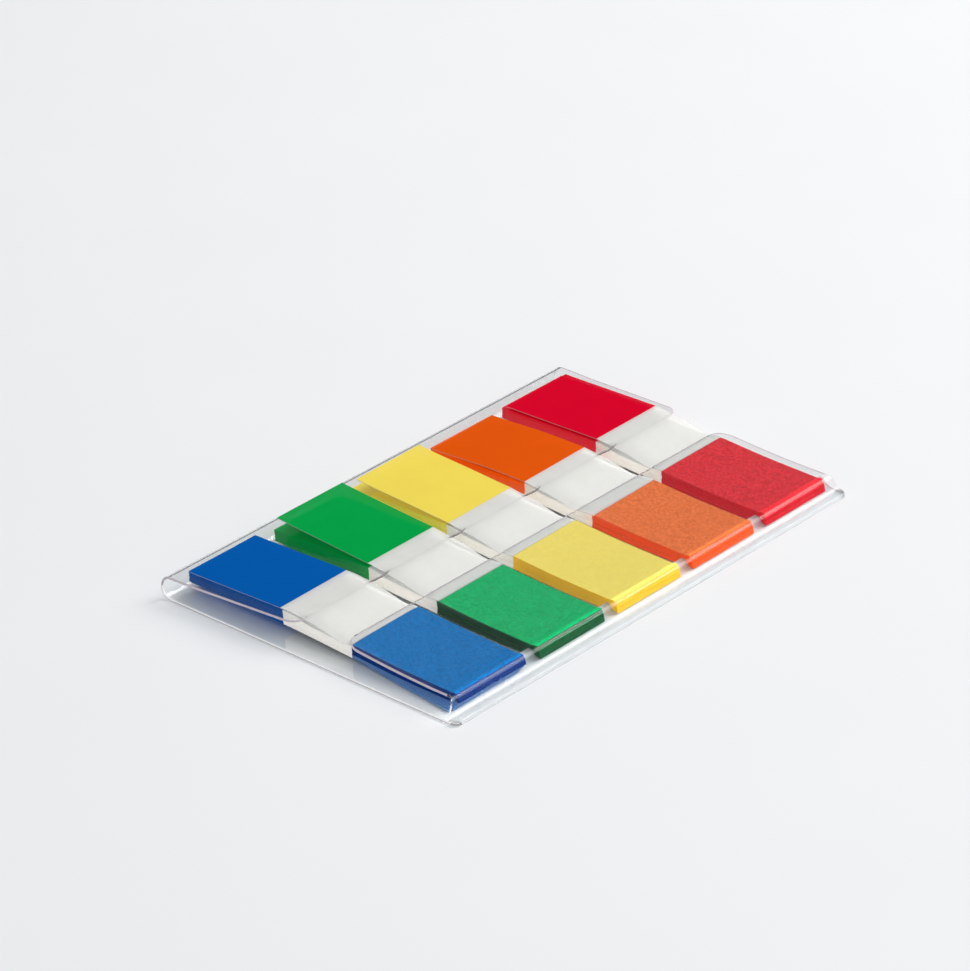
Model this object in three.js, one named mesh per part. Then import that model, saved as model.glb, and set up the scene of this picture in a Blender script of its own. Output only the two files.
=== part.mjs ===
// Index tabs in a clear sleeve: five stacks of film tabs that lie side by side in one folded sheet.
// Millimetres, +Z up. The origin is under the middle of the sleeve, on the plane that it rests on.
// +X runs along the tabs, from the round fold to the pressed fold, and +Y runs across the stacks.
import * as THREE from "three";

// The sleeve: one clear sheet, folded round at one end and pressed flat at the other.
const SLEEVE_LENGTH = 51;
const SLEEVE_WIDTH = 73.6;
const SHEET = 0.3;
const ROUND_FOLD_HEIGHT = 3.4;
const CREASE_GAP = 0.1;
const CREASE_FLAT = 1.1;
const CREASE_CORNER = 1.2;
const SHOULDER_RUN = 1.5;

// The window between the free edges of the flap over the left part and the flap over the right ends.
const WINDOW_CENTRE_X = 0.75;
const WINDOW_WIDTH = 6.9;
const OVER_FLAP_RISE = 0.45;
const OVER_FLAP_CORNER = 2;
const END_FLAP_CORNER = 3;
const NEAR_INSET = 1.3;
const FAR_INSET = 0.4;

// The tabs, which are strips of film with one coloured end and one clear end.
const TAB_LENGTH = 43.2;
const TAB_WIDTH = 11.9;
const FILM = 0.1;
const CLEARANCE = 0.06;

// The stacks: each sits on the sheet at its right end and bows up to the left. Its tabs are turned end for
// end by turns, and those with their coloured end at the left lie further left by the stagger.
const STACK_PITCH = 14.25;
const ROW_SHIFT = 0.85;
const STACK_END_X = 22.4;
const STACK_THICKNESS = 1.6;
const STAGGER = 1.2;
const STACK_BULGE = 0.3;
const STACK_LIFT = 1;
const LIFT_START_X = 16;
const LIFT_END_X = -8;
const END_SLANT = 0.25;

// How the popped tab of each stack lies: where its coloured end stops, how far that end stands up
// from the flap, how far it arches before the flap's free edge, and its turn about its hidden end.
const COLUMNS = [
  { name: "blue", colour: 0x0a5cae, endX: -22.3, lift: 0, arch: 0, turn: 1 },
  { name: "green", colour: 0x06a044, endX: -21.6, lift: 1.6, arch: 0.1, turn: 0.2 },
  { name: "yellow", colour: 0xf0dd60, endX: -21.2, lift: 1.6, arch: 0.15, turn: 1 },
  { name: "orange", colour: 0xe2570e, endX: -21.2, lift: 0.1, arch: 0.5, turn: 1.2 },
  { name: "red", colour: 0xd2062c, endX: -21.7, lift: 0.25, arch: 0.05, turn: 0.4 },
];

// Smoothness of the model.
const FOLD_STEPS = 12;
const CORNER_STEPS = 6;
const RUN_STEP = 1.5;
const FLAT_ENOUGH = 1e-6;

const RIGHT_X = SLEEVE_LENGTH / 2;
const ROUND_RADIUS = ROUND_FOLD_HEIGHT / 2;
const ROUND_FOLD_X = ROUND_RADIUS - SLEEVE_LENGTH / 2;
const CREASE_RADIUS = SHEET + CREASE_GAP / 2;
const CREASE_X = RIGHT_X - CREASE_RADIUS;
const SHOULDER_FOOT_X = CREASE_X - CREASE_FLAT;
const SHOULDER_X = SHOULDER_FOOT_X - SHOULDER_RUN;
const OVER_FLAP_EDGE_X = WINDOW_CENTRE_X - WINDOW_WIDTH / 2;
const END_FLAP_EDGE_X = WINDOW_CENTRE_X + WINDOW_WIDTH / 2;
const STACK_LENGTH = TAB_LENGTH + STAGGER;
const STACK_START_X = STACK_END_X - STACK_LENGTH;

const { clamp, degToRad, lerp, smoothstep } = THREE.MathUtils;

// Heights along the sleeve, as functions of x.
function stackBottom(x) {
  return SHEET + STACK_LIFT * (1 - smoothstep(x, LIFT_END_X, LIFT_START_X));
}

function stackTop(x) {
  const fromMiddle = (2 * (x - STACK_START_X)) / STACK_LENGTH - 1;
  return stackBottom(x) + STACK_THICKNESS + STACK_BULGE * (1 - fromMiddle * fromMiddle);
}

function overFlapTop(x) {
  const share = (x - ROUND_FOLD_X) / (OVER_FLAP_EDGE_X - ROUND_FOLD_X);
  return ROUND_FOLD_HEIGHT + OVER_FLAP_RISE * clamp(share, 0, 1);
}

// The underside of a popped tab: on its stack at the right, and over the flap at the left.
function poppedUnderside(x) {
  const onFlap = 1 - smoothstep(x, OVER_FLAP_EDGE_X, END_FLAP_EDGE_X);
  return CLEARANCE + lerp(stackTop(x), overFlapTop(x), onFlap);
}

// The underside of the flap over the right ends, which stays level past the stacks' ends.
function endFlapUnderside(x) {
  return poppedUnderside(Math.min(x, STACK_END_X)) + FILM + CLEARANCE;
}

// Values from one to another, at most a step apart.
function spread(from, to, step) {
  const count = Math.ceil(Math.abs(to - from) / step);
  return Array.from({ length: count + 1 }, (_, i) => lerp(from, to, i / count));
}

// Distances from an edge at which a rounded corner has its points.
function cornerDistances(radius) {
  return Array.from({ length: CORNER_STEPS + 1 }, (_, i) => {
    return radius * (1 - Math.cos((i * Math.PI) / 2 / CORNER_STEPS));
  });
}

// How far a rounded corner cuts in at a distance from the edge.
function cornerInset(distance, radius) {
  const reach = clamp(radius - distance, 0, radius);
  return radius - Math.sqrt(radius * radius - reach * reach);
}

// A strip of material. Each section has a point on either face, in the x-z plane, and its two side limits.
function stripGeometry(sections) {
  const corners = sections.flatMap(({ face, back, near, far }) => [
    [face.x, near, face.y],
    [face.x, far, face.y],
    [back.x, far, back.y],
    [back.x, near, back.y],
  ]);
  const index = [];
  const quad = (a, b, c, d) => index.push(a, b, c, a, c, d);
  for (let i = 0; i + 1 < sections.length; i++) {
    for (let side = 0; side < 4; side++) {
      const next = (side + 1) % 4;
      quad(4 * i + side, 4 * i + next, 4 * i + 4 + next, 4 * i + 4 + side);
    }
  }
  const last = 4 * (sections.length - 1);
  quad(3, 2, 1, 0);
  quad(last, last + 1, last + 2, last + 3);
  const geometry = new THREE.BufferGeometry();
  geometry.setAttribute("position", new THREE.Float32BufferAttribute(corners.flat(), 3));
  geometry.setIndex(index);
  return geometry;
}

// The sections of a sheet of even thickness, from the stations of its middle line.
function sheetSections(path, thickness) {
  return path.map(({ at, near, far }, i) => {
    const before = path[Math.max(i - 1, 0)].at;
    const after = path[Math.min(i + 1, path.length - 1)].at;
    const along = after.clone().sub(before).normalize();
    const half = new THREE.Vector2(-along.y, along.x).multiplyScalar(thickness / 2);
    return { face: at.clone().sub(half), back: at.clone().add(half), near, far };
  });
}

// One station of the sleeve's middle line, with how far its two sides lie in from the sheet's width.
function station(x, z, nearInset = 0, farInset = 0) {
  const half = SLEEVE_WIDTH / 2;
  return { at: new THREE.Vector2(x, z), near: nearInset - half, far: half - farInset };
}

// The flap over the left part, from its free edge to the round fold.
function overFlapStations() {
  const straightFrom = OVER_FLAP_EDGE_X - OVER_FLAP_CORNER;
  const xs = [
    ...cornerDistances(OVER_FLAP_CORNER).map((distance) => OVER_FLAP_EDGE_X - distance),
    ...spread(straightFrom, ROUND_FOLD_X, RUN_STEP).slice(1, -1),
  ];
  return xs.map((x) => {
    const share = (x - ROUND_FOLD_X) / (OVER_FLAP_EDGE_X - ROUND_FOLD_X);
    const corner = cornerInset(OVER_FLAP_EDGE_X - x, OVER_FLAP_CORNER);
    const middle = overFlapTop(x) - SHEET / 2;
    return station(x, middle, NEAR_INSET * share + corner, FAR_INSET * share + corner);
  });
}

function roundFoldStations() {
  const radius = ROUND_RADIUS - SHEET / 2;
  return Array.from({ length: FOLD_STEPS + 1 }, (_, i) => {
    const angle = Math.PI * (0.5 + i / FOLD_STEPS);
    return station(ROUND_FOLD_X + radius * Math.cos(angle), ROUND_RADIUS + radius * Math.sin(angle));
  });
}

// The base ends and the pressed fold begins inside the rounded corners.
function creaseStations() {
  const radius = CREASE_RADIUS - SHEET / 2;
  const cut = (x) => cornerInset(RIGHT_X - x, CREASE_CORNER);
  const xs = cornerDistances(CREASE_CORNER)
    .reverse()
    .map((distance) => RIGHT_X - distance)
    .filter((x) => x < CREASE_X - FLAT_ENOUGH);
  const base = xs.map((x) => station(x, SHEET / 2, cut(x), cut(x)));
  const fold = Array.from({ length: FOLD_STEPS + 1 }, (_, i) => {
    const angle = Math.PI * (i / FOLD_STEPS - 0.5);
    const x = CREASE_X + radius * Math.cos(angle);
    return station(x, CREASE_RADIUS + radius * Math.sin(angle), cut(x), cut(x));
  });
  const back = xs
    .reverse()
    .map((x) => station(x, 2 * CREASE_RADIUS - SHEET / 2, cut(x), cut(x)));
  return [...base, ...fold, ...back];
}

// The step up from the pressed fold, and the flap over the right ends to its free edge.
function endFlapStations() {
  const footZ = 2 * CREASE_RADIUS - SHEET / 2;
  const topZ = endFlapUnderside(SHOULDER_X) + SHEET / 2;
  const shoulder = new THREE.CubicBezierCurve(
    new THREE.Vector2(SHOULDER_FOOT_X, footZ),
    new THREE.Vector2(lerp(SHOULDER_FOOT_X, SHOULDER_X, 0.5), footZ),
    new THREE.Vector2(lerp(SHOULDER_FOOT_X, SHOULDER_X, 0.4), topZ),
    new THREE.Vector2(SHOULDER_X, topZ),
  ).getPoints(FOLD_STEPS);
  const step = shoulder.map((point, i) => {
    const share = i / FOLD_STEPS;
    return station(point.x, point.y, NEAR_INSET * share, FAR_INSET * share);
  });
  const xs = [
    ...spread(SHOULDER_X, END_FLAP_EDGE_X + END_FLAP_CORNER, RUN_STEP).slice(1, -1),
    ...cornerDistances(END_FLAP_CORNER)
      .reverse()
      .map((distance) => END_FLAP_EDGE_X + distance),
  ];
  const flap = xs.map((x) => {
    const corner = cornerInset(x - END_FLAP_EDGE_X, END_FLAP_CORNER);
    const middle = endFlapUnderside(x) + SHEET / 2;
    return station(x, middle, NEAR_INSET + corner, FAR_INSET + corner);
  });
  return [...step, ...flap];
}

function sleeve() {
  const path = [
    ...overFlapStations(),
    ...roundFoldStations(),
    ...creaseStations(),
    ...endFlapStations(),
  ];
  const material = new THREE.MeshStandardMaterial({
    color: 0xf2f5f4,
    roughness: 0.08,
    metalness: 0,
    transparent: true,
    opacity: 0.25,
  });
  const mesh = new THREE.Mesh(stripGeometry(sheetSections(path, SHEET)), material);
  mesh.name = "dispenser_sleeve";
  return mesh;
}

// A stack of tabs. Its ends slant a little, because the lower tabs reach further out.
function stack(column) {
  const sections = spread(STACK_START_X, STACK_END_X, RUN_STEP).map((x) => {
    const fromMiddle = (x - STACK_START_X) / STACK_LENGTH - 0.5;
    const topX = x - END_SLANT * fromMiddle;
    return {
      face: new THREE.Vector2(x, stackBottom(x)),
      back: new THREE.Vector2(topX, stackTop(topX)),
      near: -TAB_WIDTH / 2,
      far: TAB_WIDTH / 2,
    };
  });
  const material = new THREE.MeshStandardMaterial({
    color: column.colour,
    roughness: 0.6,
    metalness: 0,
  });
  const mesh = new THREE.Mesh(stripGeometry(sections), material);
  mesh.name = `${column.name}_stack`;
  return mesh;
}

// How much a popped tab stands off the flap at x.
function standOff(column, x) {
  const share = clamp((OVER_FLAP_EDGE_X - x) / (OVER_FLAP_EDGE_X - column.endX), 0, 1);
  const wedge = column.lift * share * Math.sqrt(share);
  return wedge + column.arch * Math.sin(Math.PI * share) ** 2;
}

// The middle line of a popped tab from its coloured end, stopped at the tab's own length.
function poppedPath(column) {
  const place = (x) => new THREE.Vector2(x, poppedUnderside(x) + FILM / 2 + standOff(column, x));
  const points = [place(column.endX)];
  let travelled = 0;
  while (travelled < TAB_LENGTH - FLAT_ENOUGH) {
    const last = points[points.length - 1];
    const next = place(last.x + RUN_STEP / 2);
    const step = last.distanceTo(next);
    const share = Math.min(1, (TAB_LENGTH - travelled) / step);
    points.push(last.clone().lerp(next, share));
    travelled += share * step;
  }
  return points;
}

// The popped tab is turned about the middle of its hidden end.
function poppedTab(column) {
  const points = poppedPath(column);
  const hiddenX = points[points.length - 1].x;
  const path = points.map((point) => ({
    at: new THREE.Vector2(point.x - hiddenX, point.y),
    near: -TAB_WIDTH / 2,
    far: TAB_WIDTH / 2,
  }));
  const material = new THREE.MeshStandardMaterial({
    color: column.colour,
    roughness: 0.35,
    metalness: 0,
  });
  const mesh = new THREE.Mesh(stripGeometry(sheetSections(path, FILM)), material);
  mesh.name = `${column.name}_popped_tab`;
  mesh.position.x = hiddenX;
  mesh.rotation.z = degToRad(column.turn);
  return mesh;
}

const indexTabs = new THREE.Group();
indexTabs.add(sleeve());
COLUMNS.forEach((column, i) => {
  const row = new THREE.Group();
  row.position.y = ROW_SHIFT + STACK_PITCH * (i - (COLUMNS.length - 1) / 2);
  row.add(stack(column), poppedTab(column));
  indexTabs.add(row);
});

export default indexTabs;
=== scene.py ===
"""Index tabs in a clear sleeve: the finished look of the sheet, the stacks of film and the popped tabs."""

import math
import random

import bmesh
import bpy
from mathutils import Matrix, Vector


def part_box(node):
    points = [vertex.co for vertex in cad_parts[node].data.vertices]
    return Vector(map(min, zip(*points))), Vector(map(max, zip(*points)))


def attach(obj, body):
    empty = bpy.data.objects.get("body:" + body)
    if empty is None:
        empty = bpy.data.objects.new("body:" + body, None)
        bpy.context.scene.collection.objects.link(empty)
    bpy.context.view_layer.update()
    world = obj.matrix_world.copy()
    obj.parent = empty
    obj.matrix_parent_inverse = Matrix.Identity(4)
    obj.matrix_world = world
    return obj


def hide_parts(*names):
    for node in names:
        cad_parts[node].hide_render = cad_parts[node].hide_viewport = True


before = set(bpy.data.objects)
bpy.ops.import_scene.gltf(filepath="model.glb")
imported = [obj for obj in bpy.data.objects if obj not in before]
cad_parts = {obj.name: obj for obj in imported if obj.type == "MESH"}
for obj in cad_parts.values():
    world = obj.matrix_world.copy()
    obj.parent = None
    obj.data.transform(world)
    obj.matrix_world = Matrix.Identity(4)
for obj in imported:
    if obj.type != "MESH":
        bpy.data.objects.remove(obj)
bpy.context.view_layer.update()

bl_info = {
    "name": "Index tabs in a clear sleeve",
    "version": (1, 0, 0),
    "blender": (4, 5, 0),
    "location": "View3D > Sidebar > Index tabs",
    "description": "Makes a clear folded sleeve with five stacks of film index tabs",
    "category": "Mesh",
}

MM = 0.001
TINY = 1e-7
ROOT = "root"
SEED = 7

# Faces that meet at more than this angle keep a crisp edge between them.
SHARP_ANGLE = math.radians(20)

# What is higher than this is a flap, and what is lower is the base.
FLAP_LEVEL = 2 * MM

# Rows of faces across the sheet, a leaf and a popped tab, and the slant of the film's cut edges.
SHEET_ROWS, LEAF_ROWS, TAB_ROWS = 96, 12, 16
LEAF_CUT = 0.02 * MM
TAB_CUT = 0.03 * MM

# The lowest leaves of the blue stack have slid out of line at their right end.
FANNED_LEAVES = 4
WIDEST_FAN = 1.5 * MM
FAN_START_X = 7 * MM

# How far the leaves reach past the plain solid at the stack's left end.
OVERHANG = 0.8 * MM

# How far the leaves lie out of line, how many times that at a fanned end, and the share of it that is
# sideways. Then the share of its place in the pile that a leaf fills.
LOOSENESS = 0.08 * MM
FANNED_TIMES = 3
SIDEWAYS_SHARE = 0.4
LEAF_FILL = 0.985

# What is left of light that goes straight through one side of the sheet, and how much the pressed
# fold lets through, compared with the flat sheet, a darker tint that paints the shade along the fold.
SEE_THROUGH = (0.962, 0.966, 0.97)
PRESSED_SHADE_TINT = 0.62

# Strengths of the painted glow on the clear ends' cut sides and on the faces under the popped tabs.
WHITE_SIDE_PAINTED_GLOW = 0.28
FACE_PAINTED_GLOW = 0.28

# How much of what lies under a popped tab's coloured end is covered by it.
POPPED_COVER = 0.84

SLEEVE_LOW, SLEEVE_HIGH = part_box("dispenser_sleeve")
STACK_LOW, STACK_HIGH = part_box("blue_stack")

# The camera that the photograph was taken with, found from the corners of the stacks.
CAMERA_AZIMUTH = math.radians(44.32)
CAMERA_ELEVATION = math.radians(28.15)
CAMERA_ROLL = math.radians(-3.04)
CAMERA_PLACE = Vector((361.19, -373.71, 287.01)) * MM
FOCAL_PIXELS, LONG_SIDE_PIXELS = 4669.5, 971
SENSOR_WIDTH = 36.0

# The table is a hair lower than the sleeve, so that the two never share a plane.
TABLE_HALF = 4.0
TABLE_DROP = 0.02 * MM

LAMP_SIDE = 0.8
LAMP_PLACE = (0.34, 0.72, 0.76)
LAMP_COLOUR = (1.0, 0.985, 0.96)

# The room light: its colour, the heights between which it grows and how weak and strong it is there,
# and the open side of the room with the light from there. Last, the light of the walls seen through
# the clear sheet. The shares are of the room's strength.
ROOM_COLOUR = (0.97, 0.985, 1.0)
DIM_HEIGHT, BRIGHT_HEIGHT = 0.6, 0.95
DIM_SHARE, BRIGHT_SHARE = 0.15, 2.1
OPEN_SIDE = (0.77, -0.64, 0)
OPEN_SIDE_SHARE = 1.1
WALL_SHARE = 0.2

# How far the left end of each stack is out of line, in millimetres. Then how its popped tab lies:
# where its coloured end stops, how far that end stands up from the flap, how far it arches before the
# flap's free edge, all in millimetres, and its turn about its hidden end, in degrees. Then where the
# coloured ends at the right begin, the strengths of the painted glow on the cut sides at the stack's
# left and right ends, and how strongly the grain shows at the right.
COLUMNS = {
    "blue": {
        "shift": -0.9, "end": -22.9, "lift": 0.0, "arch": 0.0, "turn": 1.0,
        "block start": 4.9, "glow": 0.04, "block glow": 0.0, "grain": 0.2,
    },
    "green": {
        "shift": 0.0, "end": -21.9, "lift": 1.6, "arch": 0.1, "turn": 0.2,
        "block start": 5.7, "glow": 0.24, "block glow": 0.0, "grain": 0.2,
    },
    "yellow": {
        "shift": 0.0, "end": -21.2, "lift": 1.6, "arch": 0.15, "turn": 1.0,
        "block start": 5.4, "glow": 0.36, "block glow": 0.4, "grain": 0.07,
    },
    "orange": {
        "shift": 0.4, "end": -21.2, "lift": 0.1, "arch": 0.2, "turn": 1.2,
        "block start": 6.0, "glow": 0.45, "block glow": 0.28, "grain": 0.22,
    },
    "red": {
        "shift": 0.0, "end": -21.7, "lift": 0.12, "arch": 0.0, "turn": 0.4,
        "block start": 5.3, "glow": 0.38, "block glow": 0.22, "grain": 0.26,
    },
}


def linear(red, green, blue):
    """A colour as it is seen on a screen, from 0 to 255, in the linear values that a shader takes."""
    shares = (value / 255 for value in (red, green, blue))
    return tuple(s / 12.92 if s <= 0.04045 else ((s + 0.055) / 1.055) ** 2.4 for s in shares)


def length(name, value, description):
    """A length property, with its default in millimetres."""
    return bpy.props.FloatProperty(
        name=name, description=description, default=value * MM, precision=5, unit="LENGTH"
    )


def colour(name, value, description):
    """A colour property."""
    return bpy.props.FloatVectorProperty(
        name=name,
        description=description,
        default=value,
        size=3,
        min=0.0,
        max=1.0,
        subtype="COLOR",
    )


class SleeveSizes(bpy.types.PropertyGroup):
    """Sizes of the folded clear sheet."""

    sheet: length("Sheet", 0.3, "Thickness of the clear sheet")
    crease_gap: length("Crease gap", 0.1, "Gap between the two layers at the pressed fold")
    crease_flat: length("Crease flat", 1.1, "Flat run between the pressed fold and the step")
    crease_corner: length("Crease corner", 1.2, "Radius of the corners at the pressed fold")
    fold_height: length("Fold height", 3.4, "Height of the round fold")
    shoulder_run: length("Shoulder run", 1.5, "Run of the step up to the stacks")
    window_centre: length("Window centre", 0.75, "Place of the window's middle along the sleeve")
    window_width: length("Window width", 6.9, "Width of the window between the two free edges")
    over_flap_rise: length("Flap rise", 0.45, "How far the flap over the left part rises")
    over_flap_corner: length("Flap corner", 2.0, "Radius of the left flap's corners")
    end_flap_corner: length("End flap corner", 2.6, "Radius of the right flap's corners")
    near_inset: length("Near inset", 1.3, "How far the left flap lies in from the near side")
    end_near_inset: length("Right near inset", 2.3, "How far the right flap's free end lies in")
    shoulder_inset: length("Shoulder inset", 2.0, "How far the step's upper end lies in")
    far_inset: length("Far inset", 0.4, "How far the flaps lie in from the far side")
    sag: length("Sag", 0.12, "How far the flaps dip between the stacks")
    cut_edge: length("Cut edge", 0.1, "Height of the slant of the sheet's cut edge")
    cut_inward: length("Cut inward", 0.18, "Width of the slant of the sheet's cut edge")
    tint: colour("Tint", (0.975, 0.985, 0.98), "Tint of the clear sheet")
    # The cut edges' tones partly paint the light seen there: the flaps' mauve-grey is painted shade with a
    # pinkish painted reflection, the free end's dark tone is painted shade, the pressed fold's grey is the
    # painted shade of the fold's inner cavity, and the base's near-white edge is a painted highlight.
    flap_edge: colour("Flap edge", linear(196, 180, 194), "Cut edges of the two flaps")
    free_edge: colour("Free edge", linear(112, 100, 104), "Cut edge of the left flap's free end")
    crease_edge: colour("Crease edge", linear(150, 148, 152), "Cut ends of the pressed fold")
    base_edge: colour("Base edge", linear(252, 252, 254), "Cut edges of the base")


class TabSizes(bpy.types.PropertyGroup):
    """Sizes of the film tabs and their stacks."""

    tab_length: length("Tab length", 43.2, "Length of one tab")
    film: length("Film", 0.1, "Thickness of one popped tab")
    clearance: length("Clearance", 0.06, "Air between layers that lie on each other")
    coloured_end: length("Coloured end", 16.0, "Length of a tab's coloured end")
    stack_thickness: length("Stack thickness", 1.6, "Thickness of a stack at its ends")
    stack_bulge: length("Stack bulge", 0.3, "Extra thickness of a stack at its middle")
    stack_lift: length("Stack lift", 1.0, "How far a stack's left part lies above the base")
    lift_start: length("Lift start", 16.0, "Where a stack leaves the base")
    lift_end: length("Lift end", -8.0, "Where a stack has its full lift")
    roll_off: length("Roll off", 0.42, "How far the film's long edges droop in the window")
    leaves: bpy.props.IntProperty(
        name="Leaves", description="Leaves that are modelled in one stack", default=14, min=2
    )


class TabColours(bpy.types.PropertyGroup):
    """Colours of the film."""

    blue: colour("Blue", linear(2, 92, 177), "Coloured end of the first column")
    green: colour("Green", linear(2, 163, 73), "Coloured end of the second column")
    yellow: colour("Yellow", linear(244, 222, 92), "Coloured end of the third column")
    orange: colour("Orange", linear(232, 90, 12), "Coloured end of the fourth column")
    red: colour("Red", linear(221, 3, 43), "Coloured end of the fifth column")
    blue_block: colour("Blue block", linear(4, 115, 187), "First column's ends under the flap")
    green_block: colour("Green block", linear(4, 178, 104), "Second column's ends under the flap")
    yellow_block: colour("Yellow block", linear(252, 228, 110), "Third column's ends under the flap")
    orange_block: colour("Orange block", linear(246, 118, 60), "Fourth column's ends under the flap")
    red_block: colour("Red block", linear(224, 40, 52), "Fifth column's ends under the flap")
    # The side colours are darker copies of the block colours: partly the film's deeper colour seen edge-on
    # and partly painted shade.
    blue_side: colour("Blue side", linear(6, 56, 140), "Cut sides of the first column's right ends")
    green_side: colour("Green side", linear(14, 92, 50), "Cut sides of the second column's right ends")
    yellow_side: colour("Yellow side", linear(236, 184, 40), "Cut sides of the third column's right ends")
    orange_side: colour("Orange side", linear(238, 84, 24), "Cut sides of the fourth column's right ends")
    red_side: colour("Red side", linear(212, 22, 40), "Cut sides of the fifth column's right ends")
    white: colour("White", linear(244, 244, 241), "Clear ends in a stack, seen together")
    cream: colour("Cream", linear(248, 243, 236), "Cut sides of the clear ends")


class StageSettings(bpy.types.PropertyGroup):
    """Floor, light and camera."""

    floor: colour("Floor", linear(236, 238, 240), "Colour of the table")
    world_strength: bpy.props.FloatProperty(
        name="Room light", description="Strength of the even light of the room", default=0.48
    )
    key_power: bpy.props.FloatProperty(
        name="Soft lamp", description="Power of the large soft lamp", default=10.6, unit="POWER"
    )


def clamp(value, low=0.0, high=1.0):
    """The value, kept between two limits."""
    return max(low, min(high, value))


def mix(a, b, share):
    """The value at a share of the way from a to b."""
    return a + (b - a) * share


def smoothstep(value, low, high):
    """A share from 0 at low to 1 at high, with level ends."""
    share = clamp((value - low) / (high - low))
    return share * share * (3 - 2 * share)


def spread(start, stop, step):
    """Values from one to another, at most a step apart."""
    count = max(1, math.ceil(abs(stop - start) / step))
    return [mix(start, stop, i / count) for i in range(count + 1)]


class Shape:
    """The sleeve's and the stacks' places and heights, worked out from the sizes."""

    def __init__(self, sleeve, tabs):
        self.sleeve = sleeve
        self.tabs = tabs
        self.right = SLEEVE_HIGH.x
        self.half_width = SLEEVE_HIGH.y
        self.fold_radius = sleeve.fold_height / 2
        self.fold_x = SLEEVE_LOW.x + self.fold_radius
        self.crease_radius = sleeve.sheet + sleeve.crease_gap / 2
        self.crease_x = self.right - self.crease_radius
        self.foot_x = self.crease_x - sleeve.crease_flat
        self.shoulder_x = self.foot_x - sleeve.shoulder_run
        self.over_edge = sleeve.window_centre - sleeve.window_width / 2
        self.end_edge = sleeve.window_centre + sleeve.window_width / 2
        self.stack_start = STACK_LOW.x
        self.stack_end = STACK_HIGH.x
        self.stack_length = self.stack_end - self.stack_start
        self.tab_width = STACK_HIGH.y - STACK_LOW.y
        self.rows = {name: self.row_middle(name) for name in COLUMNS}

    def row_middle(self, name):
        """Middle of a column, across the sleeve."""
        low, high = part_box(f"{name}_stack")
        return (low.y + high.y) / 2

    def stack_bottom(self, x):
        """Height of a stack's underside."""
        rise = 1 - smoothstep(x, self.tabs.lift_end, self.tabs.lift_start)
        return self.sleeve.sheet + self.tabs.stack_lift * rise

    def stack_top(self, x):
        """Height of a stack's upper side."""
        from_middle = 2 * (x - self.stack_start) / self.stack_length - 1
        bulge = self.tabs.stack_bulge * (1 - from_middle * from_middle)
        return self.stack_bottom(x) + self.tabs.stack_thickness + bulge

    def over_flap_share(self, x):
        """Share of the way along the left flap, from its fold to its free edge."""
        return clamp((x - self.fold_x) / (self.over_edge - self.fold_x))

    def over_flap_top(self, x):
        """Height of the left flap's upper side."""
        return self.sleeve.fold_height + self.sleeve.over_flap_rise * self.over_flap_share(x)

    def popped_underside(self, x):
        """Height of a popped tab's underside."""
        on_flap = 1 - smoothstep(x, self.over_edge, self.end_edge)
        rest = mix(self.stack_top(x), self.over_flap_top(x), on_flap)
        return self.tabs.clearance + rest

    def end_flap_underside(self, x):
        """Height of the right flap's underside."""
        under = self.popped_underside(min(x, self.stack_end))
        return under + self.tabs.film + self.tabs.clearance

    def gap_share(self, y):
        """How much a flap is free to dip at y: 1 midway between two stacks, 0 over a stack."""
        half_gap = 1.2 * MM
        nearest = min(abs(y - row) - self.tab_width / 2 for row in self.rows.values())
        return smoothstep(nearest, 0, half_gap)

    def window_share(self, x):
        """1 in the middle of the window and 0 under the two flaps."""
        return smoothstep(x, self.over_edge - 3 * MM, self.over_edge + MM) * (
            1 - smoothstep(x, self.end_edge - 2 * MM, self.end_edge + 2 * MM)
        )

    def dip(self, x, y):
        """How far a flap of the sleeve dips between two stacks."""
        fold_ease, shoulder_ease = 6 * MM, 4 * MM
        flat = smoothstep(x, self.fold_x, self.fold_x + fold_ease)
        flat *= 1 - smoothstep(x, self.shoulder_x - shoulder_ease, self.shoulder_x)
        return self.sleeve.sag * self.gap_share(y) * flat

    def roll_off(self, x, y):
        """How far the film droops at x, for a point that lies y from the middle of its column."""
        reach = 2.2 * MM
        out = clamp((abs(y) - self.tab_width / 2 + reach) / reach)
        return self.tabs.roll_off * self.window_share(x) * out * out


class Station:
    """One place along a strip: its middle point in the x-z plane, its side limits and its material."""

    def __init__(self, x, z, near, far, half=None, slot=0):
        self.point = Vector((x, z))
        self.near = near
        self.far = far
        self.half = half
        self.slot = slot


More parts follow.
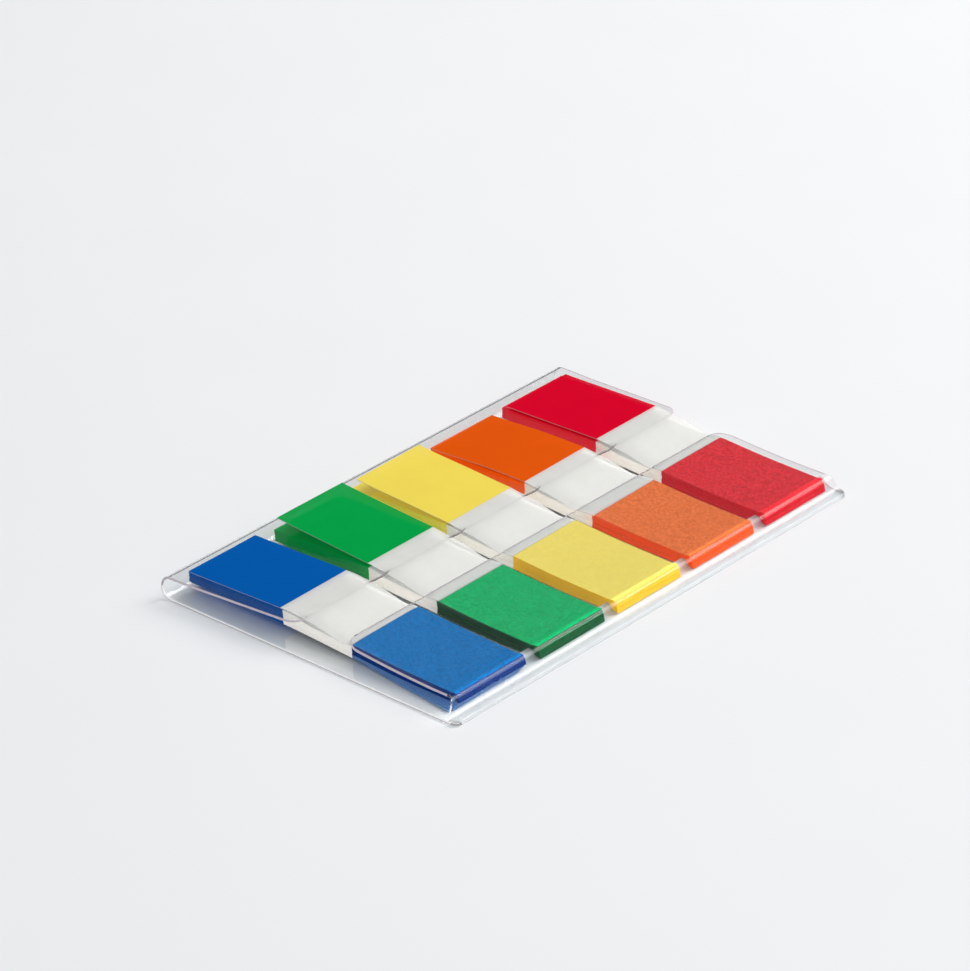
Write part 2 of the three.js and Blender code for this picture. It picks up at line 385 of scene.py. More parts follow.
def strip_mesh(name, stations, thickness, columns, cut, rim_slots, shift=None, inward=None, feet=None):
    """A strip of material with softened cut edges, as a closed mesh.

    cut and inward are the height and width of the slant along a cut edge. shift(x, y) moves a point up
    or down. rim_slots maps a face slot to the slot of its cut edge, and feet to the slot of the
    upright part of that edge, where it has one of its own.
    """
    half = thickness / 2
    soft = min(cut, half * 0.6)
    inward = inward or soft
    feet = feet or {}
    first, last = stations[0], stations[-1]
    stations = [
        Station(first.point.x, first.point.y, first.near + soft, first.far - soft, half - soft, first.slot),
        *stations,
        Station(last.point.x, last.point.y, last.near + soft, last.far - soft, half - soft, last.slot),
    ]
    along_first = (stations[2].point - stations[1].point).normalized() * soft
    along_last = (stations[-2].point - stations[-3].point).normalized() * soft
    stations[1].point = stations[1].point + along_first
    stations[-2].point = stations[-2].point - along_last

    bm = bmesh.new()
    loops = []
    for i, station in enumerate(stations):
        before = stations[max(i - 1, 0)].point
        after = stations[min(i + 1, len(stations) - 1)].point
        along = (after - before).normalized()
        normal = Vector((-along.y, along.x))
        thick = half if station.half is None else station.half
        ys = [mix(station.near + inward, station.far - inward, k / columns) for k in range(columns + 1)]
        outline = [(y, -thick) for y in ys]
        outline += [(station.far, soft - thick), (station.far, thick - soft)]
        outline += [(y, thick) for y in reversed(ys)]
        outline += [(station.near, thick - soft), (station.near, soft - thick)]
        loop = []
        for y, off in outline:
            place = station.point + normal * off
            up = shift(place.x, y) if shift else 0.0
            loop.append(bm.verts.new((place.x, y, place.y + up)))
        loops.append(loop)

    count = len(loops[0])
    side_from, top_from, near_from = columns, columns + 2, 2 * columns + 3
    for i in range(len(loops) - 1):
        slot = stations[i].slot
        rim = rim_slots[slot]
        foot = feet.get(slot, rim)
        at_end = i == 0 or i == len(loops) - 2
        for k in range(count):
            after = (k + 1) % count
            face = bm.faces.new((loops[i][k], loops[i][after], loops[i + 1][after], loops[i + 1][k]))
            on_side = side_from <= k <= top_from or k >= near_from
            upright = k in (side_from + 1, near_from + 1)
            face.material_index = (foot if upright else rim) if (at_end or on_side) else slot
    for loop, slot in ((loops[0], first.slot), (loops[-1], last.slot)):
        rim = rim_slots[slot]
        top = loop[columns + 3 : 2 * columns + 4][::-1]
        bottom = loop[: columns + 1]
        for k in range(columns):
            bm.faces.new((bottom[k], bottom[k + 1], top[k + 1], top[k])).material_index = rim
        bm.faces.new((bottom[-1], loop[columns + 1], loop[columns + 2], top[-1])).material_index = rim
        bm.faces.new((bottom[0], top[0], loop[-2], loop[-1])).material_index = rim
    bmesh.ops.recalc_face_normals(bm, faces=bm.faces)
    mesh = bpy.data.meshes.new(name)
    bm.to_mesh(mesh)
    bm.free()
    for polygon in mesh.polygons:
        polygon.use_smooth = True
    mesh.set_sharp_from_angle(angle=SHARP_ANGLE)
    return mesh


def add_piece(name, mesh, materials, node):
    """Puts a mesh in the scene as the piece that stands for a node."""
    for material in materials:
        mesh.materials.append(material)
    piece = bpy.data.objects.new(name, mesh)
    bpy.context.scene.collection.objects.link(piece)
    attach(piece, ROOT)
    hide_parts(node)


def new_material(name):
    """An empty node material, its output and its main shader."""
    material = bpy.data.materials.new(name)
    material.use_nodes = True
    nodes = material.node_tree.nodes
    nodes.clear()
    output = nodes.new("ShaderNodeOutputMaterial")
    shader = nodes.new("ShaderNodeBsdfPrincipled")
    material.node_tree.links.new(shader.outputs["BSDF"], output.inputs["Surface"])
    return material, output, shader


def made_once(name, make, base):
    """The material of this name, made with a base colour the first time that it is asked for."""
    return bpy.data.materials.get(name) or make(name, base)


def noise(material, scale, detail=2.0, roughness=0.5, stretch=(1, 1, 1)):
    """A noise pattern in the object's own space, with a scale in waves per metre."""
    nodes, links = material.node_tree.nodes, material.node_tree.links
    place = nodes.new("ShaderNodeTexCoord")
    mapping = nodes.new("ShaderNodeMapping")
    mapping.inputs["Scale"].default_value = stretch
    pattern = nodes.new("ShaderNodeTexNoise")
    pattern.inputs["Scale"].default_value = scale
    pattern.inputs["Detail"].default_value = detail
    pattern.inputs["Roughness"].default_value = roughness
    links.new(place.outputs["Object"], mapping.inputs["Vector"])
    links.new(mapping.outputs["Vector"], pattern.inputs["Vector"])
    return pattern.outputs["Fac"]


def mapped(material, source, low, high):
    """A pattern's values from 0.3 to 0.7, spread between two values."""
    nodes, links = material.node_tree.nodes, material.node_tree.links
    spread_out = nodes.new("ShaderNodeMapRange")
    spread_out.inputs["From Min"].default_value = 0.3
    spread_out.inputs["From Max"].default_value = 0.7
    spread_out.inputs["To Min"].default_value = low
    spread_out.inputs["To Max"].default_value = high
    links.new(source, spread_out.inputs["Value"])
    return spread_out.outputs["Result"]


def add_bump(material, shader, source, strength, distance):
    """Gives a shader a bump from a pattern."""
    nodes, links = material.node_tree.nodes, material.node_tree.links
    bump = nodes.new("ShaderNodeBump")
    bump.inputs["Strength"].default_value = strength
    bump.inputs["Distance"].default_value = distance
    links.new(source, bump.inputs["Height"])
    links.new(bump.outputs["Normal"], shader.inputs["Normal"])


def varied_colour(material, shader, base, amount, source):
    """A base colour that wanders a little, darker and lighter, with a pattern."""
    nodes, links = material.node_tree.nodes, material.node_tree.links
    blend = nodes.new("ShaderNodeMix")
    blend.data_type = "RGBA"
    blend.inputs["A"].default_value = (*(c * (1 - amount) for c in base), 1)
    blend.inputs["B"].default_value = (*(min(1, c * (1 + amount) + amount * 0.04) for c in base), 1)
    links.new(mapped(material, source, 0, 1), blend.inputs["Factor"])
    links.new(blend.outputs["Result"], shader.inputs["Base Color"])


def clear_sheet_material(name, tint, dullness, shine, straight="Is Diffuse Ray"):
    """The clear sheet, which lets the lamps through to what it holds.

    It is duller where it is bent, and the shine is how strongly it mirrors the room. Besides the
    light of the lamps, one more kind of ray goes straight through.
    """
    material, output, shader = new_material(name)
    nodes, links = material.node_tree.nodes, material.node_tree.links
    shader.inputs["Base Color"].default_value = (*tint, 1)
    shader.inputs["Transmission Weight"].default_value = 1.0
    shader.inputs["IOR"].default_value = 1.44
    shader.inputs["Specular IOR Level"].default_value = shine
    smear = noise(material, 90, 3)
    links.new(mapped(material, smear, dullness * 0.5, dullness * 1.5), shader.inputs["Roughness"])
    add_bump(material, shader, noise(material, 140, 2, 0.5, (1, 0.6, 1)), 0.06, 0.05 * MM)
    through = nodes.new("ShaderNodeBsdfTransparent")
    through.inputs["Color"].default_value = (*SEE_THROUGH, 1)
    rays = nodes.new("ShaderNodeLightPath")
    either = nodes.new("ShaderNodeMath")
    either.operation = "MAXIMUM"
    links.new(rays.outputs["Is Shadow Ray"], either.inputs[0])
    links.new(rays.outputs[straight], either.inputs[1])
    blend = nodes.new("ShaderNodeMixShader")
    links.new(either.outputs["Value"], blend.inputs["Fac"])
    links.new(shader.outputs["BSDF"], blend.inputs[1])
    links.new(through.outputs["BSDF"], blend.inputs[2])
    links.new(blend.outputs["Shader"], output.inputs["Surface"])
    return material


def cut_edge_material(name, base, cover, glow):
    """A cut edge of the sheet, a little frosted by the blade, in a tone that partly paints the light and
    shade seen there, and that covers a share of what is behind.

    The glow is the strength of a painted white glow, which stands in for light that the sheet leads to this
    edge.
    """
    material, _, shader = new_material(name)
    links = material.node_tree.links
    scratches = noise(material, 900, 4, 0.6, (1, 1, 3))
    varied_colour(material, shader, base, 0.1, scratches)
    links.new(mapped(material, scratches, 0.15, 0.4), shader.inputs["Roughness"])
    shader.inputs["Alpha"].default_value = cover
    # Painted white glow on the cut edge.
    shader.inputs["Emission Color"].default_value = (1, 1, 1, 1)
    shader.inputs["Emission Strength"].default_value = glow
    return material


def coloured_face_material(name, base, cover, glow):
    """The smooth upper side of a tab's coloured end, which covers a share of what is behind it.

    The glow is the strength of a painted glow in the film's own colour, which stands in for light that
    comes to it through the film above.
    """
    material, _, shader = new_material(name)
    links = material.node_tree.links
    varied_colour(material, shader, base, 0.015, noise(material, 260, 3))
    shader.inputs["Alpha"].default_value = cover
    links.new(mapped(material, noise(material, 700, 2), 0.35, 0.45), shader.inputs["Roughness"])
    add_bump(material, shader, noise(material, 2600, 2), 0.1, 0.02 * MM)
    shader.inputs["Specular IOR Level"].default_value = 0.02
    # Painted glow in the film's own colour.
    shader.inputs["Emission Color"].default_value = (*base, 1)
    shader.inputs["Emission Strength"].default_value = glow
    return material


def painted_glow_side_material(name, base, glow):
    """Cut sides with a painted glow in their own colour, standing in for light that entered the film
    elsewhere.
    """
    material, _, shader = new_material(name)
    links = material.node_tree.links
    varied_colour(material, shader, base, 0.1, noise(material, 500, 3, 0.6, (1, 1, 14)))
    links.new(mapped(material, noise(material, 900, 2), 0.4, 0.6), shader.inputs["Roughness"])
    shader.inputs["Specular IOR Level"].default_value = 0.1
    # Painted glow in the side's own colour.
    shader.inputs["Emission Color"].default_value = (*base, 1)
    shader.inputs["Emission Strength"].default_value = glow
    return material


def loose_film_material(name, base):
    """A coloured end that has slid out of line, so that light comes through it, painted paler and with a
    painted glow to light it.
    """
    material, _, shader = new_material(name)
    links = material.node_tree.links
    # Painted light: the colour is made paler.
    pale = tuple(mix(c, 0.95, 0.14) for c in base)
    varied_colour(material, shader, pale, 0.05, noise(material, 400, 3))
    links.new(mapped(material, noise(material, 500, 2), 0.5, 0.65), shader.inputs["Alpha"])
    # Painted glow in the pale colour.
    shader.inputs["Emission Color"].default_value = (*pale, 1)
    shader.inputs["Emission Strength"].default_value = 0.15
    shader.inputs["Roughness"].default_value = 0.4
    return material


def film_edge_highlight_material(name, base):
    """The cut edge of one film by itself, painted paler as a highlight where it catches the light."""
    # Painted highlight: the film's colour mixed towards white.
    pale = tuple(mix(c, 0.85, 0.3) for c in base)
    material, _, shader = new_material(name)
    links = material.node_tree.links
    varied_colour(material, shader, pale, 0.1, noise(material, 900, 3))
    links.new(mapped(material, noise(material, 900, 2), 0.3, 0.5), shader.inputs["Roughness"])
    return material


def grained_face_material(name, base, amount):
    """The coloured ends that are stuck down on each other, with the grain of the glue under the film."""
    material, _, shader = new_material(name)
    links = material.node_tree.links
    grain = noise(material, 2700, 2, 0.6)
    varied_colour(material, shader, base, amount, grain)
    links.new(mapped(material, grain, 0.4, 0.55), shader.inputs["Roughness"])
    add_bump(material, shader, grain, 0.5, 0.05 * MM)
    shader.inputs["Specular IOR Level"].default_value = 0.02
    return material


def white_face_material(name, white):
    """The clear ends inside a stack, which look white together."""
    material, _, shader = new_material(name)
    links = material.node_tree.links
    varied_colour(material, shader, white, 0.012, noise(material, 220, 3))
    links.new(mapped(material, noise(material, 800, 2), 0.5, 0.65), shader.inputs["Roughness"])
    shader.inputs["Specular IOR Level"].default_value = 0.15
    return material


def haze_material(name, white):
    """One clear end by itself: a thin matte haze over what lies beneath."""
    material, _, shader = new_material(name)
    links = material.node_tree.links
    cloud = noise(material, 300, 3, 0.6)
    shader.inputs["Base Color"].default_value = (*white, 1)
    links.new(mapped(material, cloud, 0.48, 0.52), shader.inputs["Alpha"])
    links.new(mapped(material, noise(material, 1200, 2), 0.5, 0.7), shader.inputs["Roughness"])
    shader.inputs["Specular IOR Level"].default_value = 0.1
    return material


def faint_haze_material(name, white):
    """A clear end where it is stuck down on a coloured end and hardly shows."""
    material, _, shader = new_material(name)
    links = material.node_tree.links
    cloud = noise(material, 1050, 3, 0.6)
    shader.inputs["Base Color"].default_value = (*white, 1)
    links.new(mapped(material, cloud, 0.0, 0.006), shader.inputs["Alpha"])
    links.new(mapped(material, noise(material, 1200, 2), 0.5, 0.7), shader.inputs["Roughness"])
    shader.inputs["Specular IOR Level"].default_value = 0.1
    return material


def sleeve_stations(shape):
    """The sheet's middle line, from one free edge round both folds to the other."""
    s = shape.sleeve
    step = 0.6 * MM
    steps_fold, steps_corner = 28, 12
    half = shape.half_width
    middle = s.sheet / 2

    def station(x, z, near_inset=0.0, far_inset=0.0):
        slot = FLAP if z > FLAP_LEVEL else BASE
        if x > shape.shoulder_x:
            slot = SHOULDER
        if x > shape.foot_x:
            slot = CREASE
        return Station(x, z, near_inset - half, half - far_inset, slot=slot)

    def corner_distances(radius):
        return [radius * (1 - math.cos(i * math.pi / 2 / steps_corner)) for i in range(steps_corner + 1)]

    def corner_inset(distance, radius):
        reach = clamp(radius - distance, 0, radius)
        return radius - math.sqrt(radius * radius - reach * reach)

    over_xs = [shape.over_edge - d for d in corner_distances(s.over_flap_corner)]
    over_xs += spread(over_xs[-1], shape.fold_x, step)[1:-1]
    stations = []
    for x in over_xs:
        share = shape.over_flap_share(x)
        corner = corner_inset(shape.over_edge - x, s.over_flap_corner)
        z = shape.over_flap_top(x) - middle
        stations.append(station(x, z, s.near_inset * share + corner, s.far_inset * share + corner))
    stations[0].slot = FREE

    radius = shape.fold_radius - middle
    for i in range(steps_fold + 1):
        angle = math.pi * (0.5 + i / steps_fold)
        z = shape.fold_radius + radius * math.sin(angle)
        stations.append(station(shape.fold_x + radius * math.cos(angle), z))

    def crease_cut(x):
        return corner_inset(shape.right - x, s.crease_corner)

    crease_xs = [shape.right - d for d in reversed(corner_distances(s.crease_corner))]
    crease_xs = [x for x in crease_xs if x < shape.crease_x - TINY]
    base_xs = spread(shape.fold_x, crease_xs[0], 4 * step)[1:-1]
    stations += [station(x, middle) for x in base_xs]
    stations += [station(x, middle, crease_cut(x), crease_cut(x)) for x in crease_xs]
    radius = shape.crease_radius - middle
    for i in range(steps_fold // 2 + 1):
        angle = math.pi * (2 * i / steps_fold - 0.5)
        x = shape.crease_x + radius * math.cos(angle)
        z = shape.crease_radius + radius * math.sin(angle)
        stations.append(station(x, z, crease_cut(x), crease_cut(x)))
    foot_z = 2 * shape.crease_radius - middle
    stations += [station(x, foot_z, crease_cut(x), crease_cut(x)) for x in reversed(crease_xs)]

    top_z = shape.end_flap_underside(shape.shoulder_x) + middle
    corners = [
        Vector((shape.foot_x, foot_z)),
        Vector((mix(shape.foot_x, shape.shoulder_x, 0.5), foot_z)),
        Vector((mix(shape.foot_x, shape.shoulder_x, 0.4), top_z)),
        Vector((shape.shoulder_x, top_z)),
    ]
    for i in range(steps_fold + 1):
        t = i / steps_fold
        weights = ((1 - t) ** 3, 3 * t * (1 - t) ** 2, 3 * t * t * (1 - t), t**3)
        point = sum((w * c for w, c in zip(weights, corners)), Vector((0, 0)))
        stations.append(station(point.x, point.y, s.shoulder_inset * t, s.far_inset * t))
    flap_xs = spread(shape.shoulder_x, shape.end_edge + s.end_flap_corner, step)[1:-1]
    flap_xs += [shape.end_edge + d for d in reversed(corner_distances(s.end_flap_corner))]
    for x in flap_xs:
        corner = corner_inset(x - shape.end_edge, s.end_flap_corner)
        share = (shape.shoulder_x - x) / (shape.shoulder_x - shape.end_edge)
        near = mix(s.shoulder_inset, s.end_near_inset, share)
        z = shape.end_flap_underside(x) + middle
        stations.append(station(x, z, near + corner, s.far_inset + corner))
    return stations


# The base's upright cut edge has its own slot, in a grey that paints the contact shadow under the base.
(
    FLAP, FLAP_EDGE, BASE, BASE_EDGE, CREASE, CREASE_EDGE,
    SHOULDER, SHOULDER_EDGE, FREE, FREE_EDGE, BASE_SHADOW_FOOT,
) = range(11)
SHEET_RIMS = {
    FLAP: FLAP_EDGE,
    BASE: BASE_EDGE,
    CREASE: CREASE_EDGE,
    SHOULDER: SHOULDER_EDGE,
    FREE: FREE_EDGE,
}


def sheet_materials(settings):
    """The finishes of the sleeve, in the order of the slots above."""
    tint = tuple(settings.tint)
    # The pressed fold's darker tint is painted shade.
    pressed = tuple(c * PRESSED_SHADE_TINT for c in tint)
    flap_tone, free_tone = tuple(settings.flap_edge), tuple(settings.free_edge)
    base_tone, crease_tone = tuple(settings.base_edge), tuple(settings.crease_edge)
    flat = clear_sheet_material("clear_sheet_flat", tint, 0.05, 0.5)
    bent = clear_sheet_material("clear_sheet_bent", tint, 0.2, 0.06, "Is Transmission Ray")
    crease = clear_sheet_material("clear_sheet_crease", pressed, 0.2, 0.06, "Is Transmission Ray")
    return [
        flat, cut_edge_material("flap_edge", flap_tone, 0.8, 0.12),
        flat, cut_edge_material("base_edge", base_tone, 0.8, 0.25),
        crease, cut_edge_material("crease_edge", crease_tone, 0.7, 0.25),
        bent, cut_edge_material("shoulder_edge", flap_tone, 0.12, 0.0),
        flat, cut_edge_material("free_edge", free_tone, 0.85, 0.04),
        # Grey painted contact shadow along the base's upright cut edge.
        cut_edge_material("base_foot", crease_tone, 0.85, 0.12),
    ]


class SleeveOperator(bpy.types.Operator):
    """Makes the clear sleeve, folded from one sheet"""

    bl_idname = "index_tabs.sleeve"
    bl_label = "Clear sleeve"

    def execute(self, context):
        """Makes the sheet with its folds, its rounded corners and its dips between the stacks."""
        settings = context.scene.index_sleeve
        shape = Shape(settings, context.scene.index_tabs)
        mesh = strip_mesh(
            "clear_sleeve", sleeve_stations(shape), settings.sheet, SHEET_ROWS, settings.cut_edge,
            SHEET_RIMS, inward=settings.cut_inward, feet={BASE: BASE_SHADOW_FOOT},
        )
        for vertex in mesh.vertices:
            if vertex.co.z > FLAP_LEVEL:
                vertex.co.z -= shape.dip(vertex.co.x, vertex.co.y)
        add_piece("clear_sleeve", mesh, sheet_materials(settings), "dispenser_sleeve")
        return {"FINISHED"}


def stack_materials(name, colours):
    """The finishes of a stack, in the order of the slots below."""
    base = tuple(getattr(colours, name))
    block = tuple(getattr(colours, f"{name}_block"))
    side = tuple(getattr(colours, f"{name}_side"))
    # The faces and the cut sides carry a painted glow.
    return [
        coloured_face_material(f"{name}_face", base, 1.0, FACE_PAINTED_GLOW),
        grained_face_material(f"{name}_block", block, COLUMNS[name]["grain"]),
        # The block's cut sides take the darker side colour, which is partly painted shade.
        painted_glow_side_material(f"{name}_block_side", side, COLUMNS[name]["block glow"]),
        made_once("white_face", white_face_material, tuple(colours.white)),
        painted_glow_side_material(f"{name}_white_side", tuple(colours.cream), WHITE_SIDE_PAINTED_GLOW),
        loose_film_material(f"{name}_loose_film", block),
        painted_glow_side_material(f"{name}_left_side", base, COLUMNS[name]["glow"]),
    ]


def tab_materials(name, colours):
    """The finishes of a popped tab, in the order of the slots below."""
    base, white = tuple(getattr(colours, name)), tuple(colours.white)
    return [
        coloured_face_material(f"{name}_popped_face", base, POPPED_COVER, 0.0),
        film_edge_highlight_material(f"{name}_edge", base),
        made_once("haze", haze_material, white),
        made_once("faint_haze", faint_haze_material, white),
    ]


FACE, GRAINED, SIDE, WHITE, WHITE_SIDE, LOOSE, LEFT_SIDE = range(7)
STACK_RIMS = {FACE: LEFT_SIDE, GRAINED: SIDE, WHITE: WHITE_SIDE, LOOSE: LOOSE}
TAB_FACE, TAB_EDGE, HAZE, FAINT_HAZE = range(4)
TAB_RIMS = {TAB_FACE: TAB_EDGE, HAZE: HAZE, FAINT_HAZE: FAINT_HAZE}


def leaf_mesh(shape, column, index, rng, fan):
    """One leaf of a stack: its place in the pile, its coloured ends and its white middle."""
    tabs, count = shape.tabs, shape.tabs.leaves
    shift = column["shift"] * MM
    start = shape.stack_start - OVERHANG + shift + rng.uniform(0, LOOSENESS)
    end = shape.stack_end - rng.uniform(0, LOOSENESS) * (FANNED_TIMES if fan else 1)
    sideways = rng.uniform(-LOOSENESS, LOOSENESS) * SIDEWAYS_SHARE
    half_width = shape.tab_width / 2 - LOOSENESS * SIDEWAYS_SHARE
    left_edge = shape.stack_start + tabs.coloured_end + shift
    right_edge = column["block start"] * MM
    marks = (start, left_edge, right_edge, end)
    xs = sorted({x for low, high in zip(marks, marks[1:]) for x in spread(low, high, MM)})
    lower, upper = index / count, (index + LEAF_FILL) / count

    def height(x, share):
        return mix(shape.stack_bottom(x), shape.stack_top(x), share)

    stations = []
    for x in xs:
        middle = (height(x, lower) + height(x, upper)) / 2
        half = (height(x, upper) - height(x, lower)) / 2
        if x < left_edge - TINY:
            slot = FACE
        elif x < right_edge - TINY:
            slot = WHITE
        else:
            slot = LOOSE if fan else GRAINED
        middle_y = sideways - fan * clamp((x - FAN_START_X) / (end - FAN_START_X))
        stations.append(Station(x, middle, middle_y - half_width, middle_y + half_width, half, slot))
    thickness = 2 * stations[0].half
    stations[0].half = stations[-1].half = None

    def droop(x, y):
        return -shape.roll_off(x, y) * upper

    return strip_mesh("leaf", stations, thickness, LEAF_ROWS, LEAF_CUT, STACK_RIMS, droop)


class StackOperator(bpy.types.Operator):
    """Makes the five stacks of film leaves that lie in the sleeve"""

    bl_idname = "index_tabs.stacks"
    bl_label = "Stacks of tabs"

    def execute(self, context):
        """Makes each stack as a pile of thin leaves, a little out of line."""
        scene = context.scene
        shape = Shape(scene.index_sleeve, scene.index_tabs)
        rng = random.Random(SEED)
        for name, column in COLUMNS.items():
            bm = bmesh.new()
            for index in range(scene.index_tabs.leaves):
                fanned = name == "blue" and index < FANNED_LEAVES
                fan = WIDEST_FAN * (1 - index / FANNED_LEAVES) if fanned else 0.0
                leaf = leaf_mesh(shape, column, index, rng, fan)
                leaf.transform(Matrix.Translation((0, shape.rows[name], 0)))
                bm.from_mesh(leaf)
                bpy.data.meshes.remove(leaf)
            mesh = bpy.data.meshes.new(f"{name}_leaves")
            bm.to_mesh(mesh)
            bm.free()
            mesh.set_sharp_from_angle(angle=SHARP_ANGLE)
            materials = stack_materials(name, scene.index_colours)
            add_piece(f"{name}_leaves", mesh, materials, f"{name}_stack")
        return {"FINISHED"}


def stand_off(shape, column, x):
    """How much a popped tab stands off the flap at x."""
    end = column["end"] * MM
    share = clamp((shape.over_edge - x) / (shape.over_edge - end))
    wedge = column["lift"] * MM * share * math.sqrt(share)
    return wedge + column["arch"] * MM * math.sin(math.pi * share) ** 2


def popped_stations(shape, column):
    """The middle line of a popped tab from its coloured end, stopped at the tab's own length."""
    tabs = shape.tabs
    half = shape.tab_width / 2

    def place(x):
        z = shape.popped_underside(x) + tabs.film / 2 + stand_off(shape, column, x)
        return Vector((x, z))

    points, travelled = [place(column["end"] * MM)], [0.0]
    marks = [tabs.coloured_end, tabs.tab_length]
    step = 0.4 * MM
    while travelled[-1] < tabs.tab_length - TINY:
        following = place(points[-1].x + step)
        run = (following - points[-1]).length
        mark = next(m for m in marks if m > travelled[-1] + TINY)
        share = min(1.0, (mark - travelled[-1]) / run)
        points.append(points[-1].lerp(following, share))
        travelled.append(travelled[-1] + run * share)
    stations = []
    for point, way in zip(points, travelled):
        if way < tabs.coloured_end - TINY:
            slot = TAB_FACE
        elif point.x < column["block start"] * MM:
            slot = HAZE
        else:
            slot = FAINT_HAZE
        stations.append(Station(point.x, point.y, -half, half, slot=slot))
    return stations


class PoppedTabOperator(bpy.types.Operator):
    """Makes the five popped tabs, which come up through the window and lie over the flap"""

    bl_idname = "index_tabs.popped_tabs"
    bl_label = "Popped tabs"

    def execute(self, context):
        """Makes each popped tab as one bent strip of film, turned a little about its hidden end."""
        scene = context.scene
        shape = Shape(scene.index_sleeve, scene.index_tabs)
        for name, column in COLUMNS.items():
            stations = popped_stations(shape, column)
            hidden = Vector((stations[-1].point.x, 0, 0))
            mesh = strip_mesh(
                f"{name}_tab", stations, scene.index_tabs.film, TAB_ROWS, TAB_CUT,
                TAB_RIMS, lambda x, y: -shape.roll_off(x, y),
            )
            turn = Matrix.Rotation(math.radians(column["turn"]), 4, "Z")
            mesh.transform(Matrix.Translation(hidden) @ turn @ Matrix.Translation(-hidden))
            mesh.transform(Matrix.Translation((0, shape.rows[name], 0)))
            materials = tab_materials(name, scene.index_colours)
            add_piece(f"{name}_tab", mesh, materials, f"{name}_popped_tab")
        return {"FINISHED"}


def floor_material(base):
    """The pale table."""
    material, _, shader = new_material("table")
    links = material.node_tree.links
    varied_colour(material, shader, base, 0.006, noise(material, 6, 2))
    links.new(mapped(material, noise(material, 40, 2), 0.55, 0.65), shader.inputs["Roughness"])
    shader.inputs["Specular IOR Level"].default_value = 0.2
    return material


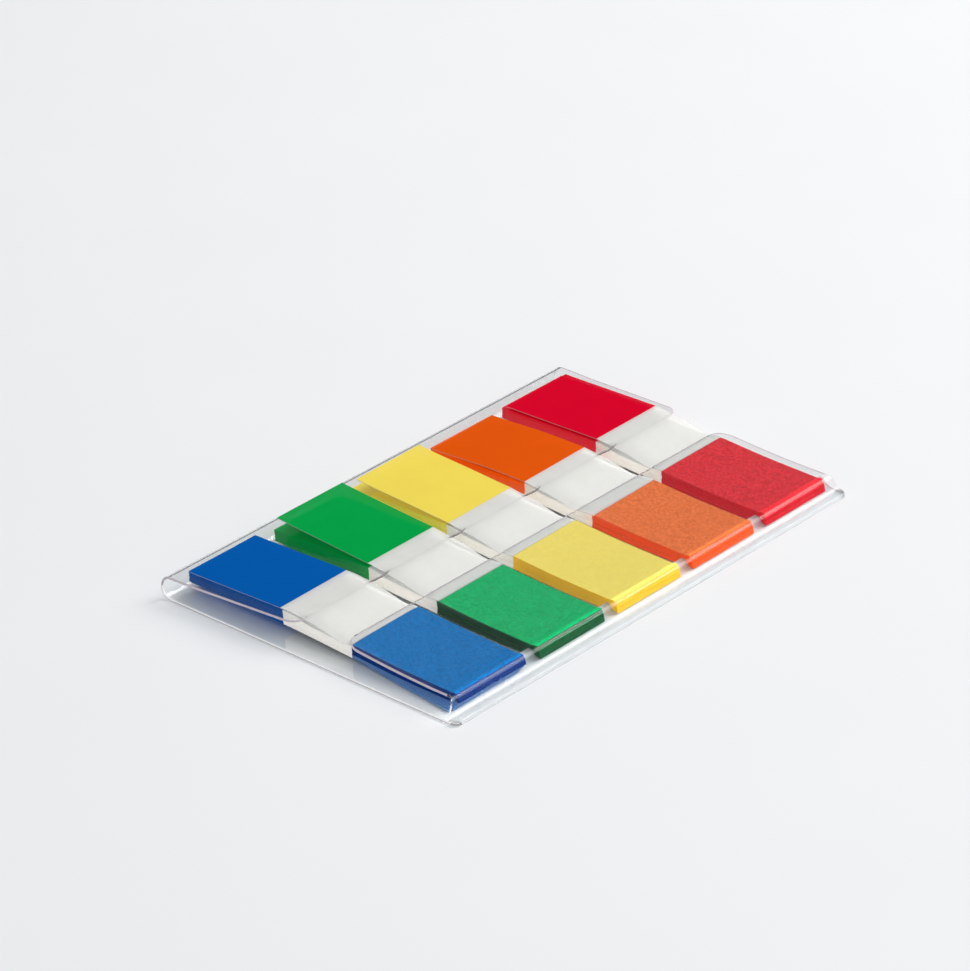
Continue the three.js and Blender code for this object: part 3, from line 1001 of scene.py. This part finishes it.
class StageOperator(bpy.types.Operator):
    """Makes the table, the soft light and the camera"""

    bl_idname = "index_tabs.stage"
    bl_label = "Table, light and camera"

    def execute(self, context):
        """Makes a plain pale table, one soft lamp, the room's even light and the camera."""
        scene = context.scene
        settings = scene.index_stage
        mesh = bpy.data.meshes.new("table")
        bm = bmesh.new()
        bmesh.ops.create_grid(bm, x_segments=8, y_segments=8, size=TABLE_HALF)
        bm.to_mesh(mesh)
        bm.free()
        mesh.materials.append(floor_material(tuple(settings.floor)))
        table = bpy.data.objects.new("table", mesh)
        table.location.z = -TABLE_DROP
        scene.collection.objects.link(table)

        world = bpy.data.worlds.new("room")
        world.use_nodes = True
        scene.world = world
        self.add_room_light(world, settings.world_strength)

        lamp = bpy.data.lights.new("soft_lamp", "AREA")
        lamp.shape = "RECTANGLE"
        lamp.size, lamp.size_y = LAMP_SIDE, LAMP_SIDE
        lamp.energy = settings.key_power
        lamp.color = LAMP_COLOUR
        holder = bpy.data.objects.new("soft_lamp", lamp)
        holder.location = LAMP_PLACE
        holder.rotation_euler = (-holder.location).to_track_quat("-Z", "Y").to_euler()
        scene.collection.objects.link(holder)

        self.add_camera(scene)
        scene.view_settings.view_transform = "Standard"
        return {"FINISHED"}

    def add_room_light(self, world, strength):
        """Soft light from above, with a weaker share from the open side of the room.

        The walls are pale where they are seen through the clear sheet.
        """
        nodes, links = world.node_tree.nodes, world.node_tree.links
        direction = nodes.new("ShaderNodeTexCoord")
        parts = nodes.new("ShaderNodeSeparateXYZ")
        height = nodes.new("ShaderNodeMapRange")
        height.inputs["From Min"].default_value = DIM_HEIGHT
        height.inputs["From Max"].default_value = BRIGHT_HEIGHT
        height.inputs["To Min"].default_value = strength * DIM_SHARE
        height.inputs["To Max"].default_value = strength * BRIGHT_SHARE
        towards = nodes.new("ShaderNodeVectorMath")
        towards.operation = "DOT_PRODUCT"
        towards.inputs[1].default_value = OPEN_SIDE
        side = nodes.new("ShaderNodeMapRange")
        side.inputs["From Max"].default_value = 1.0
        side.inputs["To Max"].default_value = strength * OPEN_SIDE_SHARE
        total = nodes.new("ShaderNodeMath")
        background = nodes["Background"]
        background.inputs["Color"].default_value = (*ROOM_COLOUR, 1)
        links.new(direction.outputs["Generated"], parts.inputs["Vector"])
        links.new(parts.outputs["Z"], height.inputs["Value"])
        links.new(direction.outputs["Generated"], towards.inputs[0])
        links.new(towards.outputs["Value"], side.inputs["Value"])
        links.new(height.outputs["Result"], total.inputs[0])
        links.new(side.outputs["Result"], total.inputs[1])
        rays = nodes.new("ShaderNodeLightPath")
        seen = nodes.new("ShaderNodeMath")
        seen.operation = "MULTIPLY_ADD"
        seen.inputs[1].default_value = strength * WALL_SHARE
        links.new(rays.outputs["Is Transmission Ray"], seen.inputs[0])
        links.new(total.outputs["Value"], seen.inputs[2])
        links.new(seen.outputs["Value"], background.inputs["Strength"])

    def add_camera(self, scene):
        """The camera, at the place and angle that the photograph was taken from."""
        back = Vector(
            (
                math.sin(CAMERA_AZIMUTH) * math.cos(CAMERA_ELEVATION),
                -math.cos(CAMERA_AZIMUTH) * math.cos(CAMERA_ELEVATION),
                math.sin(CAMERA_ELEVATION),
            )
        )
        level = Vector((math.cos(CAMERA_AZIMUTH), math.sin(CAMERA_AZIMUTH), 0))
        upright = back.cross(level)
        right = math.cos(CAMERA_ROLL) * level + math.sin(CAMERA_ROLL) * upright
        up = math.cos(CAMERA_ROLL) * upright - math.sin(CAMERA_ROLL) * level
        data = bpy.data.cameras.new("camera")
        data.sensor_width = SENSOR_WIDTH
        data.lens = SENSOR_WIDTH * FOCAL_PIXELS / LONG_SIDE_PIXELS
        data.clip_start, data.clip_end = 0.01, 20.0
        camera = bpy.data.objects.new("camera", data)
        camera.matrix_world = Matrix(
            (
                (right.x, up.x, back.x, CAMERA_PLACE.x),
                (right.y, up.y, back.y, CAMERA_PLACE.y),
                (right.z, up.z, back.z, CAMERA_PLACE.z),
                (0, 0, 0, 1),
            )
        )
        scene.collection.objects.link(camera)
        scene.camera = camera


class IndexTabsPanel(bpy.types.Panel):
    """Lists the steps that make the index tabs"""

    bl_idname = "VIEW3D_PT_index_tabs"
    bl_label = "Index tabs"
    bl_space_type = "VIEW_3D"
    bl_region_type = "UI"
    bl_category = "Index tabs"

    def draw(self, context):
        """Draws a button for each step, and the sizes and colours."""
        for operator in OPERATORS:
            self.layout.operator(operator.bl_idname)
        for name, group in GROUPS.items():
            box = self.layout.box()
            for field in group.__annotations__:
                box.prop(getattr(context.scene, name), field)


GROUPS = {
    "index_sleeve": SleeveSizes,
    "index_tabs": TabSizes,
    "index_colours": TabColours,
    "index_stage": StageSettings,
}
OPERATORS = (SleeveOperator, StackOperator, PoppedTabOperator, StageOperator)


def register():
    """Registers the classes and gives each scene its settings."""
    for item in (*GROUPS.values(), *OPERATORS, IndexTabsPanel):
        bpy.utils.register_class(item)
    for name, group in GROUPS.items():
        setattr(bpy.types.Scene, name, bpy.props.PointerProperty(type=group))


def unregister():
    """Takes the settings and the classes away again."""
    for name in GROUPS:
        delattr(bpy.types.Scene, name)
    for item in reversed((*GROUPS.values(), *OPERATORS, IndexTabsPanel)):
        bpy.utils.unregister_class(item)


def main():
    """Makes the whole scene."""
    register()
    bpy.ops.index_tabs.sleeve()
    bpy.ops.index_tabs.stacks()
    bpy.ops.index_tabs.popped_tabs()
    bpy.ops.index_tabs.stage()
    bpy.context.view_layer.update()


if __name__ == "__main__":
    main()
